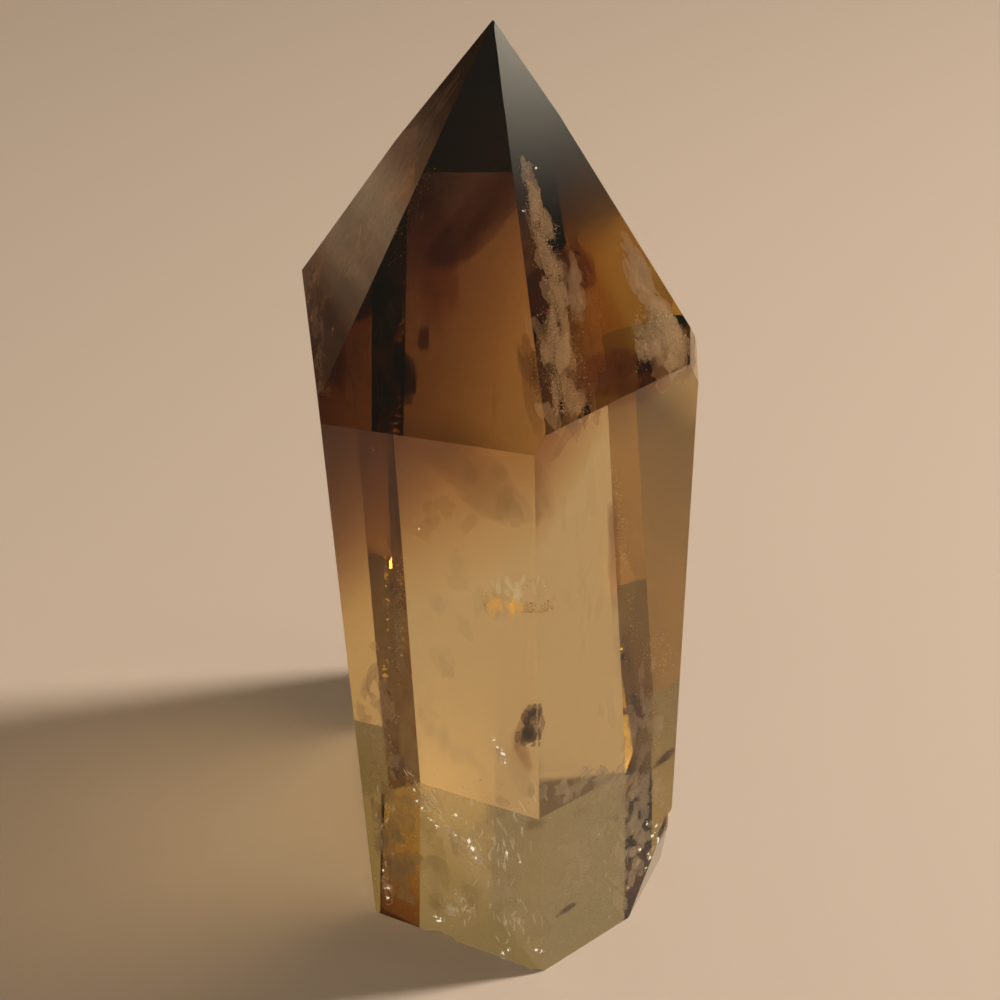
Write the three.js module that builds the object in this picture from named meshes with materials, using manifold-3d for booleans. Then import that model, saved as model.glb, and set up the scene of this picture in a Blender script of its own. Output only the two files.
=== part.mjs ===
// Crystal point: a single quartz crystal, cut flat at the foot and polished.
// Millimetres, +Z up along the crystal, the broad front edge towards -Y.
//
// The body is one block trimmed by planes, then nicked by three shallow
// shell-shaped chips. Each plane is written as
//   [azimuth, inclination, distance]
// azimuth: compass angle of the outward normal, degrees, 0 along +Y, 90 along +X
// inclination: angle of the normal from straight up, 90 is a vertical face
// distance: from the foot of the front edge, along the normal
import * as THREE from 'three';
import { mergeVertices } from 'three/addons/utils/BufferGeometryUtils.js';
import Module from 'manifold-3d';

// ---- driving dimensions -------------------------------------------------
const APEX = [-1.89, 20.16, 80.175];     // where the tip facets would meet
const BLOCK = { x: 60, y: 80, z: 90 };   // raw block the faces are cut from

// six sides of the prism, going round from the left
const PRISM = {
  left:       [-97.9, 90.0, 14.02],
  frontLeft:  [-154.5, 90.0, 0.0],
  frontRight: [145.5, 90.0, 0.0],
  right:      [88.0, 90.0, 12.33],
  backRight:  [25.5, 90.3, 36.05],
  backLeft:   [-34.5, 91.9, 35.44],
};

// facets of the tip that run through APEX: [azimuth, inclination]
const TIP = {
  left:          [-93.89, 58.55],
  frontLeft:     [-149.71, 53.87],
  frontRight:    [147.97, 49.72],
  rightUpper:    [71.52, 60.96],
  backRight:     [16.21, 50.75],
  backLeftUpper: [-36.18, 50.41],
};

// lower halves of the two facets that were ground in two steps
const TIP_LOWER = {
  right:    [71.97, 64.51, 38.955],
  backLeft: [-33.83, 56.14, 60.891],
};

// thin bevel on the right shoulder
const SHOULDERS = {
  right: [108.9, 74.7, 23.61],
};

// small flat break just under the point
const TIP_NICK = [-160.0, 35.0, 55.06];

// oblique break that takes off the right front corner of the foot
const FOOT_BREAK = {
  upper: [117.7, 100.0, 4.62],
  lower: [120.8, 104.6, 4.06],
};

// shell-shaped chips: a ball of this radius bites this deep at a surface point,
// coming in from the given direction [azimuth, inclination]
const CHIPS = {
  frontLeftFoot: { at: [-8.88, 4.24, 0.2], from: [-154.5, 128], radius: 2.5, depth: 0.60 },
  frontEdgeFoot: { at: [-0.25, 0.12, 0.1], from: [-176.0, 125], radius: 2.0, depth: 0.14 },
  rightEdge:     { at: [12.05, 8.28, 9.4], from: [118.0, 96], radius: 4.2, depth: 1.05 },
};
const CHIP_DETAIL = 9;                   // subdivisions of the ball

// ---- helpers ------------------------------------------------------------
const rad = Math.PI / 180;
const normalOf = (azimuth, inclination) => {
  const s = Math.sin(inclination * rad);
  return [Math.sin(azimuth * rad) * s, Math.cos(azimuth * rad) * s, Math.cos(inclination * rad)];
};
const dot = (a, b) => a[0] * b[0] + a[1] * b[1] + a[2] * b[2];

const wasm = await Module();
wasm.setup();

function toSolid(geometry) {
  const g = geometry.clone();
  g.deleteAttribute('normal');
  g.deleteAttribute('uv');
  const merged = mergeVertices(g, 1e-5);
  return new wasm.Manifold(new wasm.Mesh({
    numProp: 3,
    vertProperties: new Float32Array(merged.attributes.position.array),
    triVerts: new Uint32Array(merged.index.array),
  }));
}

// keep the part of the solid behind the plane
function cutBy(solid, azimuth, inclination, distance) {
  const n = normalOf(azimuth, inclination);
  return solid.trimByPlane([-n[0], -n[1], -n[2]], -distance);
}

// ---- crystal ------------------------------------------------------------
const block = new THREE.BoxGeometry(BLOCK.x, BLOCK.y, BLOCK.z);
block.translate(0, 20, BLOCK.z / 2);
let crystal = toSolid(block);

for (const face of Object.values(PRISM)) crystal = cutBy(crystal, ...face);
for (const [azimuth, inclination] of Object.values(TIP)) {
  crystal = cutBy(crystal, azimuth, inclination, dot(normalOf(azimuth, inclination), APEX));
}
for (const face of Object.values(TIP_LOWER)) crystal = cutBy(crystal, ...face);
for (const face of Object.values(SHOULDERS)) crystal = cutBy(crystal, ...face);
crystal = cutBy(crystal, ...TIP_NICK);
for (const face of Object.values(FOOT_BREAK)) crystal = cutBy(crystal, ...face);

for (const { at, from, radius, depth } of Object.values(CHIPS)) {
  const n = normalOf(...from);
  const ball = new THREE.IcosahedronGeometry(radius, CHIP_DETAIL);
  const reach = radius - depth;
  ball.translate(at[0] + n[0] * reach, at[1] + n[1] * reach, at[2] + n[2] * reach);
  crystal = crystal.subtract(toSolid(ball));
}

// ---- back to a flat-shaded mesh, foot centred on the origin --------------
const mesh = crystal.getMesh();
let geometry = new THREE.BufferGeometry();
geometry.setAttribute('position', new THREE.BufferAttribute(Float32Array.from(mesh.vertProperties), 3));
geometry.setIndex(new THREE.BufferAttribute(Uint32Array.from(mesh.triVerts), 1));
geometry = geometry.toNonIndexed();
geometry.computeBoundingBox();
const box = geometry.boundingBox;
geometry.translate(-(box.min.x + box.max.x) / 2, -(box.min.y + box.max.y) / 2, -box.min.z);
geometry.computeVertexNormals();

const quartz = new THREE.MeshStandardMaterial({
  name: 'smoky_citrine',
  color: 0x9a7440,
  roughness: 0.04,
  metalness: 0.0,
  transparent: true,
  opacity: 0.55,
});

const point = new THREE.Mesh(geometry, quartz);
point.name = 'crystal_point';

const part = new THREE.Group();
part.name = 'crystal_point_part';
part.add(point);

export default part;
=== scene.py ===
# Looks of the crystal point: a polished smoky citrine tower on a plain pale floor.
import bpy
import bmesh
import math
import random
from mathutils import Vector, Matrix, Euler, noise


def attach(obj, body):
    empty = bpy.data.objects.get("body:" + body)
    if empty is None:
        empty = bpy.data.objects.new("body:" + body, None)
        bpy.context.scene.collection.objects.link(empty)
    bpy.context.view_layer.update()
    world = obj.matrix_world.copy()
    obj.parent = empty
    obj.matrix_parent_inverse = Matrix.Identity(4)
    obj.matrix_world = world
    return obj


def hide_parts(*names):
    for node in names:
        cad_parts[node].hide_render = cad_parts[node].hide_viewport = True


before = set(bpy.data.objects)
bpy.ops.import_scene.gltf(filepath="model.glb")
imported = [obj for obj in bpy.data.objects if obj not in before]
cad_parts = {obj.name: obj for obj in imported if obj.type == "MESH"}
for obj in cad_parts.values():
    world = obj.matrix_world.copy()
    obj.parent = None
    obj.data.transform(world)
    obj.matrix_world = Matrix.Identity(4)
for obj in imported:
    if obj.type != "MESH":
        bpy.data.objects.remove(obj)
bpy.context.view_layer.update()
MM = 0.001
scene = bpy.context.scene


# ---------------------------------------------------------------- helpers
def normal_of(azimuth, inclination):
    a, i = math.radians(azimuth), math.radians(inclination)
    return Vector((math.sin(a) * math.sin(i), math.cos(a) * math.sin(i), math.cos(i)))


def link(obj):
    scene.collection.objects.link(obj)
    return obj


def mesh_object(name, bm, smooth=False):
    me = bpy.data.meshes.new(name)
    bm.to_mesh(me)
    bm.free()
    for p in me.polygons:
        p.use_smooth = smooth
    return link(bpy.data.objects.new(name, me))


# ---------------------------------------------------------------- camera
ELEV = math.radians(38.0)
ROLL = math.radians(1.756)
cam_data = bpy.data.cameras.new("camera")
cam_data.sensor_width = 36.0
cam_data.lens = 1606.3 * 36.0 / 1000.0
cam_data.clip_start = 0.005
cam_data.clip_end = 20.0
cam = link(bpy.data.objects.new("camera", cam_data))
fwd = Vector((0, math.cos(ELEV), -math.sin(ELEV)))
up = Vector((0, math.sin(ELEV), math.cos(ELEV)))
right = Vector((1, 0, 0))
cx = right * math.cos(ROLL) - up * math.sin(ROLL)
cy = right * math.sin(ROLL) + up * math.cos(ROLL)
cz = -fwd
cam.matrix_world = Matrix((
    (cx.x, cy.x, cz.x, 0.8767 * MM),
    (cx.y, cy.y, cz.y, -108.5368 * MM),
    (cx.z, cy.z, cz.z, 122.1986 * MM),
    (0, 0, 0, 1)))
scene.camera = cam

# ---------------------------------------------------------------- crystal body
# planes in mm from the foot of the front edge: azimuth, inclination, distance
APEX = Vector((-1.89, 20.16, 80.175))
PRISM = [(-97.9, 90.0, 14.02), (-154.5, 90.0, 0.0), (145.5, 90.0, 0.0),
         (88.0, 90.0, 12.33), (25.5, 90.3, 36.05), (-34.5, 91.9, 35.44)]
TIP = [(-93.89, 58.55), (-149.71, 53.87), (147.97, 49.72),
       (71.52, 60.96), (16.21, 50.75), (-36.18, 50.41)]
LOWER = [(71.97, 64.51, 38.955), (-33.83, 56.14, 60.891)]
SHOULDER = [(108.9, 74.7, 23.61)]
NICK = [(-160.0, 35.0, 55.06)]
FOOT = [(117.7, 100.0, 4.62), (120.8, 104.6, 4.06)]
planes = [(normal_of(a, i), d) for a, i, d in PRISM]
planes += [(normal_of(a, i), normal_of(a, i).dot(APEX)) for a, i in TIP]
planes += [(normal_of(a, i), d) for a, i, d in LOWER + SHOULDER + NICK + FOOT]

SHIFT = Vector((3.2991, -21.1349, 0.0))


def hull(plane_list, inset=0.0):
    """Closed solid, mm, cut from a block by the planes moved inwards by inset."""
    bm = bmesh.new()
    bmesh.ops.create_cube(bm, size=1.0)
    bmesh.ops.scale(bm, vec=(60, 80, 90 - 2 * inset), verts=bm.verts)
    bmesh.ops.translate(bm, vec=(0, 20, 45), verts=bm.verts)
    for n, d in plane_list:
        geom = bm.verts[:] + bm.edges[:] + bm.faces[:]
        bmesh.ops.bisect_plane(bm, geom=geom, dist=1e-6, plane_co=n * (d - inset),
                               plane_no=n, clear_outer=True)
        rim = [e for e in bm.edges if len(e.link_faces) == 1]
        if rim:
            bmesh.ops.edgeloop_fill(bm, edges=rim)
    bmesh.ops.remove_doubles(bm, verts=bm.verts, dist=1e-4)
    bmesh.ops.recalc_face_normals(bm, faces=bm.faces)
    return bm


def to_row(bm):
    """From the front foot, mm, to the row frame, metres."""
    bmesh.ops.translate(bm, vec=SHIFT, verts=bm.verts)
    bmesh.ops.scale(bm, vec=(MM, MM, MM), verts=bm.verts)


bm = hull(planes)
to_row(bm)
sharp = [e for e in bm.edges if e.calc_length() > 1.2 * MM]
bmesh.ops.bevel(bm, geom=sharp, offset=0.10 * MM, offset_type='OFFSET', segments=2, profile=0.5,
                affect='EDGES', clamp_overlap=True)
crystal = mesh_object("crystal_body", bm)


def glass(name, ior, absorb, density, rough=0.0):
    """Plain clear glass with plain volume absorption."""
    m = bpy.data.materials.new(name)
    m.use_nodes = True
    nt = m.node_tree
    for n in list(nt.nodes):
        nt.nodes.remove(n)
    out = nt.nodes.new("ShaderNodeOutputMaterial")
    pr = nt.nodes.new("ShaderNodeBsdfPrincipled")
    pr.inputs["Base Color"].default_value = (1, 1, 1, 1)
    pr.inputs["Roughness"].default_value = rough
    pr.inputs["IOR"].default_value = ior
    pr.inputs["Transmission Weight"].default_value = 1.0
    va = nt.nodes.new("ShaderNodeVolumeAbsorption")
    va.inputs["Color"].default_value = (*absorb, 1)
    va.inputs["Density"].default_value = density
    nt.links.new(pr.outputs[0], out.inputs["Surface"])
    nt.links.new(va.outputs[0], out.inputs["Volume"])
    return m, nt, pr, va


def absorbing(name, ior, per_mm):
    """Glass from its absorption per millimetre of red, green and blue."""
    dens = max(per_mm) * 1000 * 1.05
    return glass(name, ior, tuple(1 - s * 1000 / dens for s in per_mm), dens)


mat, nt, pr, va = absorbing("smoky_citrine_glass", 1.55, (0.0070, 0.0128, 0.0290))
crystal.data.materials.append(mat)

# shell-shaped chips: where the ball meets the skin, its way in, radius, depth
CHIPS = [((-8.88, 4.24, 0.2), (-154.5, 128), 2.5, 0.28),
         ((-0.25, 0.12, 0.1), (-176, 125), 2.0, 0.14),
         ((12.05, 8.28, 9.4), (118, 96), 4.2, 1.05)]
for i, (at, way, radius, depth) in enumerate(CHIPS):
    out_dir = normal_of(*way)
    centre = Vector(at) + SHIFT + out_dir * (radius - depth)
    b = bmesh.new()
    bmesh.ops.create_icosphere(b, subdivisions=5, radius=radius)
    for v in b.verts:
        h = (v.co - out_dir * (-radius)).length
        v.co *= 1.0 + 0.012 * math.sin(h * 7.0)
    bmesh.ops.translate(b, vec=centre, verts=b.verts)
    bmesh.ops.scale(b, vec=(MM, MM, MM), verts=b.verts)
    ball = mesh_object("chip_tool_%d" % i, b)
    mod = crystal.modifiers.new("chip", 'BOOLEAN')
    mod.operation = 'DIFFERENCE'
    mod.solver = 'EXACT'
    mod.object = ball
    bpy.context.view_layer.update()
    deps = bpy.context.evaluated_depsgraph_get()
    cut = bpy.data.meshes.new_from_object(crystal.evaluated_get(deps))
    crystal.modifiers.clear()
    crystal.data = cut
    bpy.data.objects.remove(ball, do_unlink=True)
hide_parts("crystal_point")
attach(crystal, "root")

# ---------------------------------------------------------------- smoky growth zones
# each zone reaches from its slanting growth plane up to the tip; they add up towards the
# upper left: rise to the right, rise to the back, height on the axis, absorption per mm
ZONES = [(1.2, 0.6, 57.5, (0.0327, 0.0617, 0.1050)), (1.2, 0.6, 62.5, (0.0327, 0.0617, 0.1050)),
         (1.8, 0.0, 59.5, (0.0430, 0.0424, 0.0120)), (0.4, -1.2, 70.0, (0.0385, 0.0356, 0.0150))]
for k, (tx, ty, z, sig) in enumerate(ZONES):
    n = Vector((tx, ty, -1.0)).normalized()
    cut = (n, n.dot(Vector((-2.0, 20.0, z))))
    bm = hull(planes + [cut], inset=0.10 + 0.02 * k)
    to_row(bm)
    zone = mesh_object("smoky_zone_%d" % (k + 1), bm)
    zone.data.materials.append(absorbing("smoky_zone_%d" % (k + 1), 1.0, sig)[0])
    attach(zone, "root")

# ---------------------------------------------------------------- what is sealed in the crystal
# all positions in mm in the row frame: veils of tiny flakes on four corners, clouds of
# colour along an axis, single flecks
VEILS = [
    ("wisp_ridge", [(3.61, -9.39, 68.62), (5.15, -8.8, 68.25), (5.83, -17.52, 59.09), (3.92, -18.81, 58.99)], 0.50, 1500, 0.17, "veil_pale"),
    ("wisp_ridge_b", [(4.84, -11.83, 63.95), (6.48, -12.23, 62.52), (6.96, -16.55, 57.88), (5.18, -17.41, 58.13)], 0.60, 700, 0.16, "veil_pale"),
    ("patch_right", [(10.95, -10.44, 62.56), (13.88, -10.03, 61.14), (14.13, -11.34, 59.15), (10.74, -13.91, 59.21)], 0.60, 1500, 0.17, "veil_pale"),
    ("strip_top", [(2.77, -6.57, 72.41), (3.6, -6.24, 72.22), (4.59, -10.03, 67.81), (3.62, -10.4, 68.04)], 0.30, 500, 0.15, "veil_pale"),
    ("f0_streak_a", [(-10.32, 0.63, 59.43), (-9.06, -3.18, 61.06), (-5.66, -4.66, 66.44), (-6.41, -1.72, 65.55)], 0.40, 420, 0.15, "veil_tan"),
    ("f0_streak_b", [(-9.31, 3.72, 61.13), (-8.24, -0.02, 62.45), (-4.7, -0.43, 68.19), (-5.42, 2.09, 67.29)], 0.40, 380, 0.15, "veil_tan"),
    ("f0_band", [(-14.1, 9.54, 54.71), (-12.34, 3.93, 56.95), (-11.29, -11.7, 57.27), (-11.66, -11.2, 56.38)], 0.30, 800, 0.15, "veil_tan"),
    ("f0_mid", [(-11.18, 6.39, 57.48), (-6.52, -6.94, 64.43), (-2.67, -3.24, 70.28), (-4.82, 4.11, 67.59)], 0.80, 900, 0.15, "veil_tan"),
    ("base_haze_l", [(-10.14, -10.96, 17.96), (-2.45, -14.61, 19.11), (-2.24, -14.78, 0.38), (-9.89, -11.14, 0.45)], 3.00, 1300, 0.13, "veil_pale"),
    ("base_haze_m", [(-4.13, -13.81, 19.55), (3.82, -17.58, 22.12), (3.64, -17.57, 0.88), (-2.24, -14.78, 0.38)], 3.00, 1300, 0.13, "veil_pale"),
    ("base_haze_r", [(2.74, -17.44, 23.07), (13.58, -10.05, 15.11), (12.12, -13.08, 0.1), (2.52, -17.68, 0.14)], 3.00, 1500, 0.13, "veil_pale"),
    ("right_low", [(10.53, -14.63, 36.95), (14.1, -12.18, 32.39), (14.19, -12.15, 13.02), (10.91, -14.39, 15.71)], 1.00, 1300, 0.14, "veil_tan"),
    ("left_low", [(-11.28, -12.76, 27.26), (-8.16, -14.24, 28.61), (-9.52, -13.63, 2.15), (-11.29, -12.79, 1.16)], 1.00, 1400, 0.14, "veil_tan"),
    ("orange_streak", [(0.32, -16.79, 41.86), (3.58, -18.34, 42.9), (3.72, -18.41, 41.96), (0.44, -16.86, 40.81)], 0.30, 420, 0.14, "veil_orange"),
    ("pale_band", [(0.24, -16.56, 43.22), (3.94, -18.3, 45.35), (3.92, -18.3, 44.0), (0.36, -16.62, 42.08)], 0.40, 300, 0.12, "veil_pale"),
    ("diag_tail", [(-2.79, -15.88, 13.7), (-1.73, -16.39, 14.5), (-0.96, -16.76, 11.49), (-1.68, -16.42, 10.57)], 0.50, 260, 0.14, "veil_bright"),
    ("diag_line", [(-7.18, -13.78, 19.43), (-6.65, -14.03, 19.69), (-2.81, -15.88, 13.16), (-3.54, -15.53, 12.26)], 0.40, 200, 0.12, "veil_bright"),
    ("ripple_a", [(-1.89, -15.37, 13.56), (3.77, -18.04, 19.34), (3.73, -18.04, 14.91), (0.58, -16.56, 9.29)], 0.80, 260, 0.12, "veil_pale"),
    ("glint_col", [(0.05, -17.67, 27.61), (0.53, -17.9, 27.83), (1.27, -18.26, 24.91), (0.61, -17.95, 24.37)], 0.30, 200, 0.14, "veil_bright"),
    ("foot_left_glow", [(-10.72, -13.52, 5.22), (-9.76, -13.98, 5.74), (-10.04, -13.84, 1.43), (-10.81, -13.48, 1.29)], 0.50, 260, 0.14, "veil_bright"),
    ("veil_mid_l", [(-6.9, -14.72, 43.96), (-6.11, -15.09, 44.24), (-7.61, -14.41, 26.48), (-8.47, -14.0, 26.1)], 0.50, 420, 0.13, "veil_pale"),
    ("edge_specks", [(8.58, -15.93, 52.72), (9.04, -15.62, 52.46), (11.28, -14.12, 34.31), (10.24, -14.82, 35.01)], 0.50, 260, 0.13, "veil_pale"),
]
CLOUDS = [
    ("streak_f1", (2.85, -6.16, 70.17), (-2.53, -7.56, 64.82), 1.50, "smoke_dark"),
    ("cloud_f1", (-3.33, -4.36, 68.06), (-2.47, -9.33, 62.76), 1.80, "smoke_red"),
    ("spot_f1", (-3.92, -11.73, 61.83), (-3.95, -12.4, 61.02), 0.45, "smoke_black"),
    ("blot_left", (-5.56, -12.4, 59.91), (-5.2, -14.01, 58.25), 0.80, "smoke_black"),
    ("blot_left_b", (-5.98, -11.87, 60.25), (-5.58, -12.67, 59.58), 0.40, "smoke_black"),
    ("line_f1_a", (1.08, -15.11, 61.26), (0.71, -18.45, 57.06), 0.16, "smoke_dark"),
    ("f0_patch", (-10.54, -1.05, 57.7), (-7.61, -7.43, 61.76), 1.60, "smoke_dark"),
    ("f0_patch_b", (-10.05, -7.6, 57.76), (-10.26, -10.8, 57.28), 0.90, "smoke_dark"),
    ("f0_patch_c", (-9.9, 8.69, 59.82), (-7.19, 3.01, 63.6), 0.90, "smoke_red"),
    ("f2_orange", (6.84, -9.66, 63.71), (8.57, -13.08, 59.19), 2.40, "smoke_orange"),
    ("f2_red", (7.65, -14.58, 59.72), (10.69, -13.52, 58.9), 1.80, "smoke_red"),
    ("f2_dark", (5.97, -9.32, 66.06), (6.84, -10.0, 64.82), 1.20, "smoke_dark"),
    ("wedge", (2.86, -20.15, 32.45), (1.95, -19.73, 28.69), 0.72, "smoke_dark"),
    ("wedge_b", (2.03, -19.76, 28.73), (2.55, -20.01, 26.32), 0.60, "smoke_dark"),
    ("wedge_c", (1.7, -18.84, 26.98), (2.59, -19.28, 22.92), 1.00, "smoke_olive"),
    ("patch_edge", (2.55, -19.93, 18.91), (3.13, -20.2, 19.58), 0.50, "smoke_dark"),
    ("speck_p2", (4.79, -18.91, 6.16), (5.89, -18.15, 6.25), 0.42, "smoke_black"),
    ("speck_p2_b", (6.12, -17.68, 18.14), (6.92, -17.13, 17.73), 0.30, "smoke_dark"),
    ("speck_p2_c", (8.92, -15.76, 15.04), (9.66, -15.26, 14.68), 0.26, "smoke_dark"),
    ("spot_right", (13.48, -12.93, 18.41), (14.76, -12.05, 18.92), 0.50, "smoke_black"),
    ("streak_right", (11.19, -14.49, 28.09), (11.62, -14.2, 25.2), 0.50, "smoke_dark"),
    ("streak_right_b", (8.64, -15.9, 49.96), (9.14, -15.57, 39.93), 0.60, "smoke_dark"),
    ("shade_p2", (9.36, -14.91, 39.51), (10.3, -14.29, 28.0), 0.90, "smoke_olive"),
    ("shade_left", (-6.43, -14.04, 52.22), (-7.66, -13.53, 28.3), 0.70, "smoke_olive"),
    ("shade_m", (-1.5, -14.89, 54.0), (1.62, -16.38, 51.42), 2.20, "smoke_olive"),
]
FLECKS = [
    ((-5.59, -16.06, 1.69), 0.20, "pale"),
    ((-5.81, -15.96, 2.87), 0.18, "pale"),
    ((-5.46, -16.12, 4.35), 0.18, "pale"),
    ((-4.77, -16.45, 5.59), 0.18, "pale"),
    ((-3.93, -16.85, 6.48), 0.18, "pale"),
    ((-3.11, -17.24, 7.08), 0.18, "pale"),
    ((-2.39, -17.58, 7.19), 0.18, "pale"),
    ((-4.49, -16.59, 1.74), 0.16, "pale"),
    ((-3.57, -17.02, 1.84), 0.16, "pale"),
    ((-7.02, -15.37, 18.65), 0.22, "bright"),
    ((-6.44, -15.64, 16.66), 0.20, "bright"),
    ((-5.23, -16.22, 14.95), 0.22, "bright"),
    ((-1.96, -17.78, 12.45), 0.24, "bright"),
    ((0.21, -18.8, 27.26), 0.22, "bright"),
    ((-10.58, -13.68, 6.2), 0.24, "bright"),
    ((1.82, -19.58, 13.93), 0.16, "bright"),
    ((-0.78, -18.34, 17.72), 0.16, "pale"),
    ((1.04, -19.22, 8.42), 0.18, "pale"),
    ((2.02, -19.69, 4.8), 0.18, "pale"),
    ((2.78, -20.03, 24.61), 0.14, "pale"),
    ((8.88, -16.4, 4.4), 0.20, "pale"),
    ((4.41, -19.47, 4.35), 0.18, "pale"),
    ((12.21, -14.11, 8.39), 0.22, "bright"),
    ((-6.18, -15.76, 24.55), 0.12, "pale"),
    ((-3.58, -17.0, 30.91), 0.12, "pale"),
    ((4.87, -19.11, 52.44), 0.12, "pale"),
    ((8.8, -16.42, 48.32), 0.20, "pale"),
    ((9.2, -16.15, 44.24), 0.16, "pale"),
    ((-4.95, -16.22, 47.91), 0.16, "bright"),
    ((-7.87, -14.83, 54.2), 0.20, "pale"),
    ((3.94, -6.75, 71.65), 0.16, "bright"),
    ((2.94, -9.3, 69.72), 0.16, "bright"),
    ((0.12, -18.09, 27.64), 0.26, "bright"),
    ((0.81, -18.42, 26.33), 0.30, "bright"),
    ((0.95, -18.49, 25.35), 0.26, "bright"),
    ((-7.13, -14.75, 19.27), 0.20, "pale"),
    ((-6.73, -14.94, 17.06), 0.22, "bright"),
    ((-5.62, -15.47, 15.18), 0.26, "bright"),
    ((-3.38, -16.54, 16.95), 0.28, "bright"),
    ((-2.64, -16.88, 20.81), 0.20, "pale"),
    ((-2.38, -17.02, 14.11), 0.55, "bright"),
    ((-2.15, -17.13, 13.31), 0.42, "bright"),
    ((0.86, -18.56, 14.23), 0.34, "bright"),
    ((-5.72, -16.18, 1.74), 0.40, "bright"),
    ((-5.97, -16.06, 2.18), 0.26, "bright"),
    ((0.02, -19.01, 0.49), 0.34, "bright"),
    ((0.48, -19.23, 1.21), 0.26, "bright"),
    ((2.98, -20.42, 2.7), 0.34, "bright"),
    ((9.37, -15.45, 15.05), 0.18, "pale"),
    ((11.31, -14.12, 11.18), 0.26, "pale"),
    ((5.26, -18.28, 8.68), 0.24, "pale"),
    ((9.43, -16.12, 1.52), 0.26, "pale"),
    ((11.16, -14.74, 3.94), 0.30, "pale"),
    ((9.12, -16.09, 50.5), 0.20, "pale"),
    ((-10.26, -13.74, 3.76), 0.34, "bright"),
    ((-10.36, -13.69, 2.27), 0.26, "bright"),
    ((-10.5, -13.62, 9.64), 0.20, "pale"),
    ((13.38, -13.51, 9.43), 0.34, "bright"),
    ((13.98, -12.77, 7.65), 0.42, "bright"),
    ((13.74, -13.36, 10.54), 0.26, "bright"),
    ((13.31, -13.65, 6.53), 0.42, "bright"),
    ((12.83, -13.88, 11.51), 0.22, "bright"),
    ((12.96, -13.9, 5.44), 0.26, "bright"),
    ((-4.68, -16.49, 3.66), 0.16, "dark"),
    ((-4.29, -16.68, 4.3), 0.18, "dark"),
    ((-3.82, -16.9, 4.86), 0.15, "dark"),
    ((-3.35, -17.13, 5.4), 0.18, "dark"),
    ((-2.89, -17.34, 5.66), 0.15, "dark"),
    ((-2.45, -17.56, 5.63), 0.13, "dark"),
    ((-4.03, -16.8, 4.02), 0.12, "dark"),
    ((-3.1, -17.25, 4.84), 0.11, "dark"),
    ((-6.1, -15.7, 55.95), 0.14, "dark"),
    ((-6.13, -15.66, 52.96), 0.12, "dark"),
    ((-6.41, -15.53, 49.67), 0.16, "dark"),
    ((-6.47, -15.5, 46.34), 0.13, "dark"),
    ((-6.77, -15.36, 42.79), 0.15, "dark"),
    ((-6.76, -15.37, 39.24), 0.12, "dark"),
    ((-7.19, -15.17, 34.84), 0.15, "dark"),
    ((-7.23, -15.16, 30.41), 0.12, "dark"),
]

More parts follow.
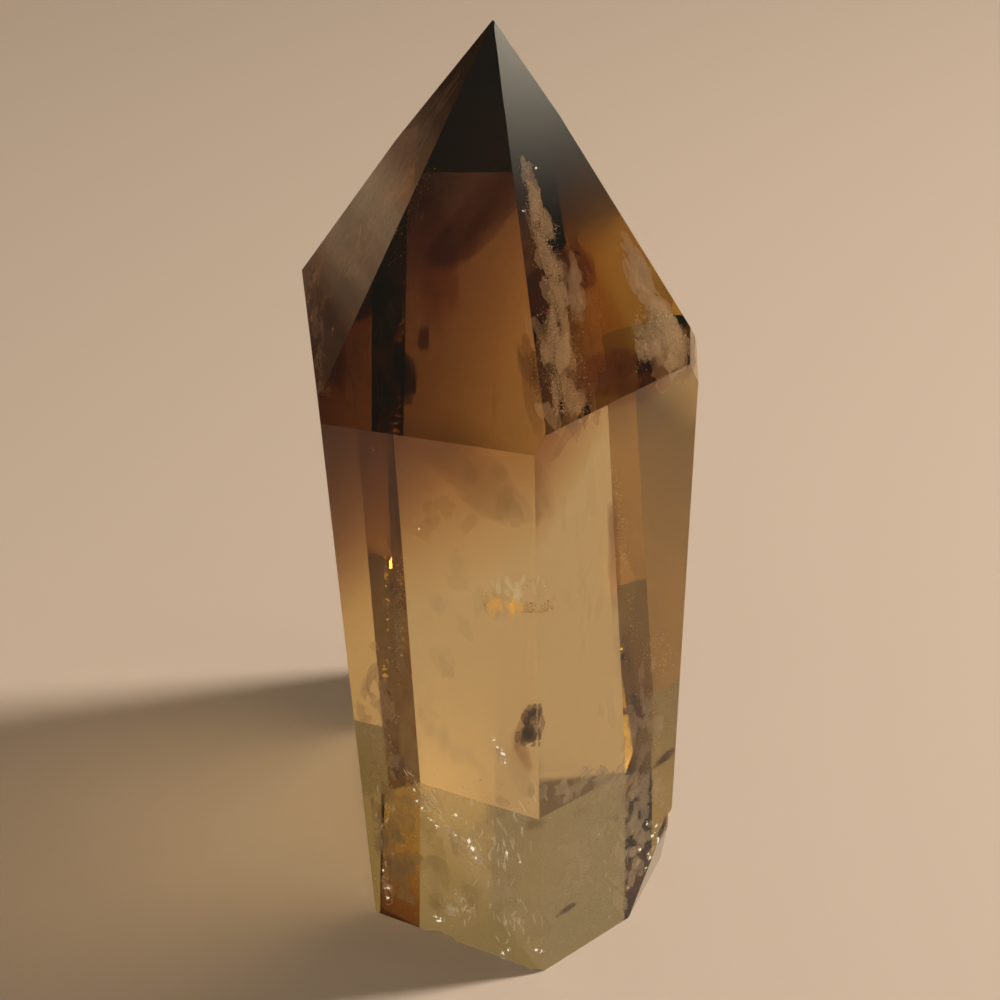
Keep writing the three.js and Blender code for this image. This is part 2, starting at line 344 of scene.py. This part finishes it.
# wisps of the kinds spark, creamy, bright and orange glow with emission as painted light
WISPS = [
    ("diag_bits", [(-7.88, -14.67, 20.56), (-6.47, -15.34, 21.23), (-1.06, -17.93, 11.69), (-3.0, -17.01, 10.65)], 34, 0.90, 0.17, "spark"),
    ("ripples", [(-4.64, -15.65, 18.05), (3.28, -19.41, 23.38), (3.16, -19.38, 11.73), (-2.47, -16.71, 7.3)], 40, 1.30, 0.16, "spark"),
    ("ripples_foot", [(-1.11, -17.91, 9.78), (3.04, -19.88, 12.57), (2.92, -19.84, 1.55), (-0.12, -18.39, 0.46)], 30, 1.20, 0.16, "spark"),
    ("p2_specks", [(8.16, -16.28, 17.97), (12.89, -13.04, 12.11), (12.12, -13.08, 0.1), (8.0, -16.41, 1.18)], 14, 0.80, 0.14, "spark"),
    ("left_bits", [(-10.8, -13.56, 19.34), (-8.9, -14.47, 19.0), (-9.48, -14.21, 1.81), (-11.19, -13.39, 1.58)], 20, 0.80, 0.16, "spark"),
    ("shell_rim", [(-6.03, -16.22, 5.7), (-2.01, -18.13, 7.93), (-2.16, -18.07, 3.49), (-6.06, -16.21, 1.23)], 18, 1.00, 0.22, "spark"),
    ("cream_band", [(-0.6, -17.52, 43.99), (3.65, -19.54, 45.94), (3.64, -19.54, 44.11), (-0.2, -17.71, 42.46)], 14, 1.80, 0.40, "creamy"),
    ("p2_wedge", [(3.49, -19.78, 25.58), (10.5, -14.97, 20.51), (10.56, -14.93, 18.23), (3.45, -19.81, 20.08)], 20, 2.40, 1.20, "olive2"),
    ("wedge_fill", [(2.9, -20.37, 33.45), (3.28, -20.55, 33.62), (3.22, -20.52, 26.87), (1.28, -19.6, 28.26)], 26, 1.60, 0.70, "umber"),
    ("under_ridge", [(3.41, -9.76, 65.73), (6.83, -8.49, 64.89), (7.72, -14.94, 57.84), (3.71, -18.09, 57.17)], 20, 6.00, 2.00, "gold"),
    ("under_right", [(10.88, -9.24, 62.49), (14.24, -9.36, 60.28), (14.07, -10.38, 57.8), (10.64, -13.51, 58.36)], 14, 3.00, 2.00, "gold"),
    ("low_right_c", [(10.43, -15.43, 20.35), (13.85, -13.08, 16.36), (13.26, -10.97, 0.16), (10.87, -15.13, 1.91)], 20, 2.20, 1.00, "olive2"),
    ("low_left_c", [(-10.09, -14.0, 17.21), (-6.9, -15.52, 18.14), (-7.85, -15.08, 1.33), (-10.86, -13.64, 1.09)], 24, 2.80, 1.30, "olive2"),
    ("ridge", [(2.82, -6.95, 72.0), (3.72, -6.6, 71.79), (5.85, -12.56, 64.49), (4.24, -13.15, 64.9)], 24, 2.60, 0.70, "beige"),
    ("ridge_low", [(4.08, -12.46, 65.25), (5.98, -11.76, 64.77), (6.72, -17.45, 58.6), (3.97, -19.09, 58.68)], 34, 2.60, 1.00, "beige"),
    ("ridge_mid", [(5.08, -10.34, 66.75), (6.19, -10.27, 66.13), (7.29, -13.28, 62.43), (5.2, -13.54, 63.47)], 16, 2.00, 0.80, "tan"),
    ("right_patch", [(10.99, -10.42, 62.99), (14.06, -10.11, 61.38), (14.45, -11.4, 58.86), (10.77, -14.25, 59.29)], 26, 2.00, 1.30, "beige"),
    ("right_upper", [(9.37, -7.55, 66.88), (11.15, -7.8, 65.52), (13.78, -9.91, 61.76), (10.99, -10.42, 62.99)], 14, 2.60, 1.00, "tan"),
    ("red_low", [(6.2, -14.84, 61.84), (10.86, -13.17, 60.6), (10.16, -15.33, 58.88), (5.42, -17.97, 59.19)], 12, 1.80, 0.90, "brown"),
    ("f0_diag_a", [(-6.03, 4.34, 67.14), (-4.59, 0.07, 69.02), (-9.11, -4.14, 61.17), (-11.19, 1.35, 58.38)], 24, 3.00, 0.70, "tan"),
    ("f0_diag_b", [(-3.32, 2.19, 71.31), (-2.34, -0.95, 72.56), (-5.48, -3.38, 67.18), (-6.57, 0.15, 65.78)], 18, 2.60, 0.60, "tan"),
    ("f0_left", [(-14.47, 10.36, 54.5), (-12.48, 4.45, 57.08), (-11.3, -11.73, 57.56), (-11.72, -11.71, 56.52)], 34, 2.40, 0.60, "beige"),
    ("f0_top", [(-1.06, 1.63, 75.25), (-0.46, -0.78, 75.96), (-3.39, -1.04, 71.15), (-4.41, 2.41, 69.87)], 14, 2.40, 0.40, "tan"),
    ("f0_rim", [(-5.79, 4.39, 67.83), (-5.06, 2.07, 68.76), (-11.68, 4.55, 58.24), (-13.05, 7.91, 56.39)], 18, 3.00, 0.45, "tan"),
    ("low_left", [(-11.17, -13.1, 25.11), (-7.96, -14.63, 24.77), (-8.03, -14.62, 3.16), (-10.74, -13.33, 1.64)], 28, 2.80, 0.90, "olive2"),
    ("low_left_b", [(-11.1, -13.12, 34.25), (-7.82, -14.68, 34.48), (-7.9, -14.66, 23.0), (-11.18, -13.09, 22.7)], 18, 2.60, 0.80, "tan"),
    ("low_right", [(10.17, -15.18, 34.16), (13.49, -12.91, 31.88), (13.37, -13.01, 13.89), (10.24, -15.16, 16.46)], 24, 2.40, 0.90, "tan"),
    ("low_right_b", [(9.97, -15.34, 20.44), (14.14, -12.48, 15.86), (12.12, -13.08, 0.1), (9.62, -15.6, 1.34)], 32, 2.40, 1.10, "olive2"),
    ("base_l", [(-7.93, -13.7, 19.37), (-1.91, -16.57, 21.01), (-1.66, -16.72, 1.84), (-7.21, -14.08, 0.84)], 18, 3.20, 1.60, "olive"),
    ("base_m", [(-1.91, -16.57, 21.01), (3.52, -19.15, 23.03), (3.33, -19.1, 1.87), (-1.69, -16.71, 1.1)], 14, 3.20, 1.60, "olive"),
    ("base_r", [(3.22, -18.95, 23.93), (9.74, -14.48, 19.34), (9.18, -14.9, 0.27), (3.03, -19.12, 1.8)], 24, 2.80, 1.20, "olive"),
    ("tail", [(-2.86, -17.07, 14.43), (-1.9, -17.53, 14.92), (-1.06, -17.93, 11.42), (-1.95, -17.51, 10.67)], 8, 1.40, 0.35, "bright"),
    ("orange", [(-0.02, -17.61, 42.34), (3.53, -19.29, 43.48), (3.52, -19.29, 42.29), (0.1, -17.67, 41.18)], 26, 1.50, 0.40, "orange"),
    ("mid_cream", [(-5.31, -13.62, 45.58), (1.49, -16.82, 49.79), (2.65, -17.46, 32.2), (-5.58, -13.57, 26.36)], 12, 4.00, 1.60, "cream"),
    ("mid_brown", [(-5.64, -13.92, 54.04), (3.53, -18.0, 56.58), (2.81, -17.94, 49.55), (-5.39, -14.07, 45.79)], 8, 3.00, 1.40, "brown"),
    ("p2_streaks", [(3.52, -17.82, 54.73), (7.8, -14.9, 52.39), (10.0, -13.49, 22.89), (3.3, -18.07, 27.98)], 14, 5.00, 0.70, "cream"),
    ("p2_right", [(8.34, -15.58, 51.7), (13.27, -12.21, 48.95), (12.96, -12.45, 31.77), (9.65, -14.72, 34.04)], 14, 4.00, 0.70, "brown"),
    ("shell", [(-5.69, -16.38, 5.18), (-2.74, -17.79, 7.39), (-2.46, -17.92, 5.02), (-5.11, -16.66, 2.07)], 10, 1.30, 0.60, "bright"),
    ("f1_left_haze", [(-9.23, -8.52, 59.75), (-5.26, -9.51, 63.06), (-5.2, -14.58, 57.09), (-10.6, -12.5, 55.85)], 8, 2.60, 1.00, "brown"),
]


def plain(name, colour, rough, alpha=1.0, glow=0.0):
    m = bpy.data.materials.new(name)
    m.use_nodes = True
    f = m.node_tree.nodes["Principled BSDF"]
    f.inputs["Base Color"].default_value = (*colour, 1)
    f.inputs["Roughness"].default_value = rough
    f.inputs["Alpha"].default_value = alpha
    # glow: emission that paints light onto an inner piece which is no lamp, standing in for light that
    # doesn't reach inside the crystal
    if glow:
        m.cycles.emission_sampling = 'NONE'
        f.inputs["Emission Color"].default_value = (*colour, 1)
        f.inputs["Emission Strength"].default_value = glow
    return m


FLAKE_MATS = {
    "veil_pale": plain("veil_pale", (0.72, 0.60, 0.42), 0.6),
    "veil_tan": plain("veil_tan", (0.52, 0.38, 0.22), 0.6),
    "veil_orange": plain("veil_orange", (0.80, 0.36, 0.07), 0.6),
    "veil_bright": plain("veil_bright", (0.95, 0.88, 0.72), 0.5),
}
# bright flecks are real pale specks, but their emission is painted light: painted glints that glow though
# they are no lamps
FLECK_MATS = {"bright": plain("fleck_bright_painted_glint", (1.0, 0.96, 0.85), 0.4, 1.0, 0.75),
              "pale": plain("fleck_pale", (0.80, 0.66, 0.48), 0.5),
              "dark": plain("fleck_dark", (0.035, 0.018, 0.010), 0.4)}
CLOUD_MATS = {
    "smoke_dark": absorbing("smoke_dark", 1.0, (0.34, 0.50, 0.58))[0],
    "smoke_red": absorbing("smoke_red", 1.0, (0.10, 0.22, 0.24))[0],
    "smoke_black": absorbing("smoke_black", 1.0, (1.5, 1.8, 1.9))[0],
    "smoke_orange": absorbing("smoke_orange", 1.0, (0.05, 0.12, 0.30))[0],
    "smoke_olive": absorbing("smoke_olive", 1.0, (0.07, 0.08, 0.09))[0],
}
# the bright, orange, spark and creamy wisps carry emission: painted light that lights them from within in
# place of light that doesn't reach inside the crystal; the spark wisps are painted glints
WISP_MATS = {
    "beige": plain("wisp_beige", (0.92, 0.62, 0.34), 0.8, 0.16),
    "tan": plain("wisp_tan", (0.72, 0.49, 0.29), 0.8, 0.18),
    "olive": plain("wisp_olive", (0.80, 0.62, 0.36), 0.8, 0.13),
    "cream": plain("wisp_cream", (0.95, 0.78, 0.48), 0.8, 0.05),
    "bright": plain("wisp_bright_painted_glow", (0.95, 0.82, 0.60), 0.8, 0.18, 0.12),
    "orange": plain("wisp_orange", (0.88, 0.50, 0.10), 0.8, 0.20, 0.38),
    "olive2": plain("wisp_olive_deep", (0.74, 0.56, 0.32), 0.8, 0.26),
    "umber": plain("wisp_umber", (0.09, 0.040, 0.018), 0.8, 0.28),
    "spark": plain("wisp_spark_painted_glint", (0.96, 0.82, 0.55), 0.6, 0.22, 0.30),
    "creamy": plain("wisp_creamy_painted_glow", (0.95, 0.78, 0.45), 0.8, 0.12, 0.35),
    "gold": plain("wisp_gold", (0.62, 0.34, 0.13), 0.8, 0.24),
    "brown": plain("wisp_brown", (0.20, 0.09, 0.04), 0.8, 0.05),
}
rng = random.Random(11)
HULL_MM = [(n.copy(), d + n.dot(SHIFT)) for n, d in planes] + [(Vector((0, 0, -1)), 0.0)]


def inside(p, gap):
    return all(n.dot(p) < d - gap for n, d in HULL_MM)


def put_flake(bm, p, size, flat, stretch=1.0):
    """One small closed chip: a squashed, slightly uneven double pyramid."""
    rot = Euler((rng.uniform(0, 6.28), rng.uniform(0, 6.28), rng.uniform(0, 6.28))).to_matrix()
    r = size / 2
    top = bm.verts.new(p + rot @ Vector((0, 0, r * flat)))
    bot = bm.verts.new(p - rot @ Vector((0, 0, r * flat)))
    n = rng.choice((4, 5, 6))
    ring = []
    for i in range(n):
        a = 6.28318 * (i + rng.uniform(-0.2, 0.2)) / n
        q = r * rng.uniform(0.65, 1.1)
        ring.append(bm.verts.new(p + rot @ Vector((q * stretch * math.cos(a), q * math.sin(a), 0))))
    for i in range(n):
        bm.faces.new((ring[i], ring[(i + 1) % n], top))
        bm.faces.new((ring[(i + 1) % n], ring[i], bot))


def sealed(name, bm, material, smooth=False):
    bm.normal_update()
    bmesh.ops.recalc_face_normals(bm, faces=bm.faces)
    bm.normal_update()
    if sum((f.calc_center_median() - Vector((0, 0, 0))).dot(f.normal) * f.calc_area() for f in bm.faces) < 0:
        bmesh.ops.reverse_faces(bm, faces=bm.faces)
    bmesh.ops.scale(bm, vec=(MM, MM, MM), verts=bm.verts)
    o = mesh_object(name, bm, smooth)
    o.data.materials.append(material)
    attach(o, "root")
    return o


receivers = []
for name, c, thick, count, size, kind in VEILS:
    a, b, e, f = (Vector(v) for v in c)
    nrm = (b - a).cross(f - a).normalized()
    bm = bmesh.new()
    seed = Vector((rng.uniform(0, 50), rng.uniform(0, 50), rng.uniform(0, 50)))
    made = tries = 0
    while made < count and tries < count * 8:
        tries += 1
        u = min(max(rng.gauss(0.5, 0.27), -0.1), 1.1)
        v = rng.uniform(-0.02, 1.02)
        p = (a * (1 - u) + b * u) * (1 - v) + (f * (1 - u) + e * u) * v
        p = p + nrm * rng.gauss(0, thick / 2)
        w = noise.fractal(p * 0.35 + seed, 1.0, 2.2, 3)
        if w < rng.uniform(-0.35, 0.45) or not inside(p, 0.25):
            continue
        put_flake(bm, p, size * rng.uniform(0.25, 0.75), 0.22, rng.uniform(1.0, 1.8))
        made += 1
    receivers.append(sealed("veil_" + name, bm, FLAKE_MATS[kind]))

def put_plate(bm, p, along, across, normal, length, width):
    """A thin leaf with a wavy rim, thickest in its middle."""
    seed = Vector((rng.uniform(0, 50), rng.uniform(0, 50), 0))
    top, bot = bm.verts.new(p + normal * 0.03), bm.verts.new(p - normal * 0.03)
    ring = []
    for i in range(26):
        a = 6.28318 * i / 26
        w = Vector((math.cos(a), math.sin(a), 0))
        r = 1.0 + 0.55 * noise.noise(w * 1.2 + seed) + 0.25 * noise.noise(w * 3.5 + seed)
        ring.append(bm.verts.new(p + along * (w.x * r * length / 2) + across * (w.y * r * width / 2)))
    for i in range(26):
        bm.faces.new((ring[i], ring[(i + 1) % 26], top))
        bm.faces.new((ring[(i + 1) % 26], ring[i], bot))


for name, c, count, length, width, kind in WISPS:
    a, b, e, f = (Vector(v) for v in c)
    nrm = (b - a).cross(f - a).normalized()
    along = ((f - a) + (e - b)).normalized()
    bm = bmesh.new()
    made = tries = 0
    while made < count and tries < count * 12:
        tries += 1
        u, v = min(max(rng.gauss(0.5, 0.27), 0.0), 1.0), min(max(rng.gauss(0.5, 0.27), 0.03), 0.97)
        p = (a * (1 - u) + b * u) * (1 - v) + (f * (1 - u) + e * u) * v
        turn = Matrix.Rotation(rng.gauss(0, 0.22), 3, nrm)
        al = (turn @ along + nrm * rng.gauss(0, 0.06)).normalized()
        ac = nrm.cross(al).normalized()
        up = al.cross(ac)
        p = p + nrm * rng.gauss(0, 0.35)
        ln, wd = length * rng.uniform(0.4, 1.2), width * rng.uniform(0.4, 1.3)
        if not all(inside(p + al * (sx * ln * 0.8) + ac * (sy * wd * 0.8), 0.12)
                   for sx, sy in ((-1, 0), (1, 0), (0, -1), (0, 1))):
            continue
        put_plate(bm, p, al, ac, up, ln, wd)
        made += 1
    if made:
        sealed("wisp_" + name, bm, WISP_MATS[kind])
    else:
        bm.free()

# the bright flecks glow with emission as painted glints
for kind in ("bright", "pale", "dark"):
    bm = bmesh.new()
    for p, size, k in FLECKS:
        if k != kind:
            continue
        p = Vector(p)
        if inside(p, 0.15):
            put_flake(bm, p, size * (1.35 if kind == "bright" else 1.0), 0.45, rng.uniform(1.0, 1.6))
            for i in range(3):
                q = p + Vector([rng.gauss(0, size * 0.6) for _ in range(3)])
                if inside(q, 0.15):
                    put_flake(bm, q, size * 0.45, 0.4, 1.3)
    receivers.append(sealed("flecks_" + kind, bm, FLECK_MATS[kind]))

for name, p0, p1, rad, kind in CLOUDS:
    p0, p1 = Vector(p0), Vector(p1)
    mid, axis = (p0 + p1) / 2, p1 - p0
    rot = axis.to_track_quat('Z', 'Y').to_matrix()
    bm = bmesh.new()
    bmesh.ops.create_icosphere(bm, subdivisions=4, radius=1.0)
    seed = Vector((rng.uniform(0, 50), rng.uniform(0, 50), rng.uniform(0, 50)))
    for v in bm.verts:
        k = 1.0 + 0.45 * noise.noise(v.co * 1.3 + seed) + 0.15 * noise.noise(v.co * 3.1 + seed)
        q = mid + rot @ Vector((v.co.x * rad * k, v.co.y * rad * k, v.co.z * (axis.length / 2 + rad) * k))
        for n, d in HULL_MM:
            over = n.dot(q) - (d - 0.22)
            if over > 0:
                q = q - n * over
        v.co = q
    sealed("cloud_" + name, bm, CLOUD_MATS[kind], True)

# ---------------------------------------------------------------- floor, light, world
bm = bmesh.new()
bmesh.ops.create_grid(bm, x_segments=1, y_segments=1, size=3.0)
floor = mesh_object("floor", bm)
floor.location.z = -0.00002
fm = bpy.data.materials.new("floor_pale")
fm.use_nodes = True
fb = fm.node_tree.nodes["Principled BSDF"]
fb.inputs["Base Color"].default_value = (0.60, 0.50, 0.425, 1)
fb.inputs["Roughness"].default_value = 0.7
floor.data.materials.append(fm)


def area(name, azimuth, elevation, distance, size, power, colour, target=(0, 0, 0.03)):
    ld = bpy.data.lights.new(name, 'AREA')
    ld.shape = 'DISK'
    ld.size = size
    ld.energy = power
    ld.spread = math.radians(70)
    ld.color = colour
    o = link(bpy.data.objects.new(name, ld))
    a, e = math.radians(azimuth), math.radians(elevation)
    d = Vector((math.sin(a) * math.cos(e), math.cos(a) * math.cos(e), math.sin(e)))
    o.location = Vector(target) + d * distance
    o.rotation_mode = 'QUATERNION'
    o.rotation_quaternion = d.to_track_quat('Z', 'Y')
    return o


KEY_GAIN = 0.165
area("key", 82, 30, 1.0, 0.13, 11.5 * KEY_GAIN, (1.0, 0.90, 0.77))


def softbox(name, azimuth, elevation, distance, size, strength, colour):
    """A panel that glows most in its middle and fades out to its rim."""
    a, e = math.radians(azimuth), math.radians(elevation)
    d = Vector((math.sin(a) * math.cos(e), math.cos(a) * math.cos(e), math.sin(e)))
    b = bmesh.new()
    bmesh.ops.create_grid(b, x_segments=1, y_segments=1, size=size / 2)
    o = mesh_object(name, b)
    o.location = Vector((0, 0, 0.04)) + d * distance
    o.rotation_mode = 'QUATERNION'
    o.rotation_quaternion = d.to_track_quat('Z', 'Y')
    m = bpy.data.materials.new(name)
    m.use_nodes = True
    n = m.node_tree
    for x in list(n.nodes):
        n.nodes.remove(x)
    out = n.nodes.new("ShaderNodeOutputMaterial")
    em = n.nodes.new("ShaderNodeEmission")
    em.inputs["Color"].default_value = (*colour, 1)
    tc = n.nodes.new("ShaderNodeTexCoord")
    mp = n.nodes.new("ShaderNodeMapping")
    mp.inputs["Scale"].default_value = (2.0 / size,) * 3
    gr = n.nodes.new("ShaderNodeTexGradient")
    gr.gradient_type = 'QUADRATIC_SPHERE'
    mu = n.nodes.new("ShaderNodeMath")
    mu.operation = 'MULTIPLY'
    mu.inputs[1].default_value = strength
    n.links.new(tc.outputs["Object"], mp.inputs["Vector"])
    n.links.new(mp.outputs[0], gr.inputs["Vector"])
    n.links.new(gr.outputs["Fac"], mu.inputs[0])
    n.links.new(mu.outputs[0], em.inputs["Strength"])
    ad = n.nodes.new("ShaderNodeAddShader")
    tp = n.nodes.new("ShaderNodeBsdfTransparent")
    n.links.new(em.outputs[0], ad.inputs[0])
    n.links.new(tp.outputs[0], ad.inputs[1])
    n.links.new(ad.outputs[0], out.inputs["Surface"])
    o.data.materials.append(m)
    return o


softbox("softbox_right", 100, 47, 1.0, 0.335, 8.5, (1.0, 0.88, 0.68))
softbox("softbox_left", -106, 57, 1.0, 0.50, 0.55, (1.0, 0.88, 0.70))



def flag(name, points, colour, z=0.0005):
    """A card that only shows in reflections and through the crystal."""
    b = bmesh.new()
    b.faces.new([b.verts.new((x, y, z)) for x, y in points])
    o = mesh_object(name, b)
    m = bpy.data.materials.new(name)
    m.use_nodes = True
    fn = m.node_tree
    f = fn.nodes["Principled BSDF"]
    f.inputs["Roughness"].default_value = 0.8
    tc = fn.nodes.new("ShaderNodeTexCoord")
    far = fn.nodes.new("ShaderNodeVectorMath")
    far.operation = 'DOT_PRODUCT'
    far.inputs[1].default_value = (-0.50, 0.866, 0.0)
    nz = fn.nodes.new("ShaderNodeTexNoise")
    nz.inputs["Scale"].default_value = 16.0
    nz.inputs["Detail"].default_value = 3.0
    ma = fn.nodes.new("ShaderNodeMath")
    ma.operation = 'MULTIPLY_ADD'
    ma.inputs[1].default_value = 0.22
    ra = fn.nodes.new("ShaderNodeValToRGB")
    cr = ra.color_ramp
    cr.elements[0].position, cr.elements[0].color = 0.30, (*colour[0], 1)
    cr.elements[1].position, cr.elements[1].color = 0.60, (*colour[0], 1)
    for pos, c in ((0.345, colour[1]), (0.40, colour[2]), (0.46, colour[1])):
        e = cr.elements.new(pos)
        e.color = (*c, 1)
    fn.links.new(tc.outputs["Object"], far.inputs[0])
    fn.links.new(tc.outputs["Object"], nz.inputs["Vector"])
    fn.links.new(nz.outputs["Fac"], ma.inputs[0])
    fn.links.new(far.outputs["Value"], ma.inputs[2])
    fn.links.new(ma.outputs[0], ra.inputs[0])
    fn.links.new(ra.outputs[0], f.inputs["Base Color"])
    o.data.materials.append(m)
    o.visible_camera = False
    o.visible_shadow = False
    o.visible_diffuse = False
    return o


flag("flag_back_left", [(-0.60, 0.12), (-0.10, 0.12), (-0.07, 0.60), (-0.60, 0.90)],
     [(0.15, 0.075, 0.045), (0.42, 0.27, 0.17), (0.85, 0.62, 0.42)])

world = bpy.data.worlds.new("world")
scene.world = world
world.use_nodes = True
bg = world.node_tree.nodes["Background"]
bg.inputs[1].default_value = 1.0
# soft room light: dim near the horizon, brighter overhead
wn = world.node_tree
w_tc = wn.nodes.new("ShaderNodeTexCoord")
w_sep = wn.nodes.new("ShaderNodeSeparateXYZ")
w_ramp = wn.nodes.new("ShaderNodeValToRGB")
w_ramp.color_ramp.elements[0].position = 0.25
w_ramp.color_ramp.elements[0].color = (0.050, 0.042, 0.034, 1)
w_ramp.color_ramp.elements[1].position = 0.80
w_ramp.color_ramp.elements[1].color = (0.34, 0.285, 0.205, 1)
w_mid = w_ramp.color_ramp.elements.new(0.58)
w_mid.color = (0.22, 0.18, 0.13, 1)
wn.links.new(w_tc.outputs["Generated"], w_sep.inputs[0])
wn.links.new(w_sep.outputs["Z"], w_ramp.inputs[0])
wn.links.new(w_ramp.outputs[0], bg.inputs[0])

scene.view_settings.view_transform = 'Standard'
scene.view_settings.look = 'None'
scene.view_settings.exposure = 0.0
scene.cycles.max_bounces = 20
scene.cycles.transmission_bounces = 18
scene.cycles.glossy_bounces = 16
scene.cycles.diffuse_bounces = 2
scene.cycles.transparent_max_bounces = 32
scene.cycles.caustics_reflective = True
scene.cycles.caustics_refractive = True
scene.cycles.use_denoising = True
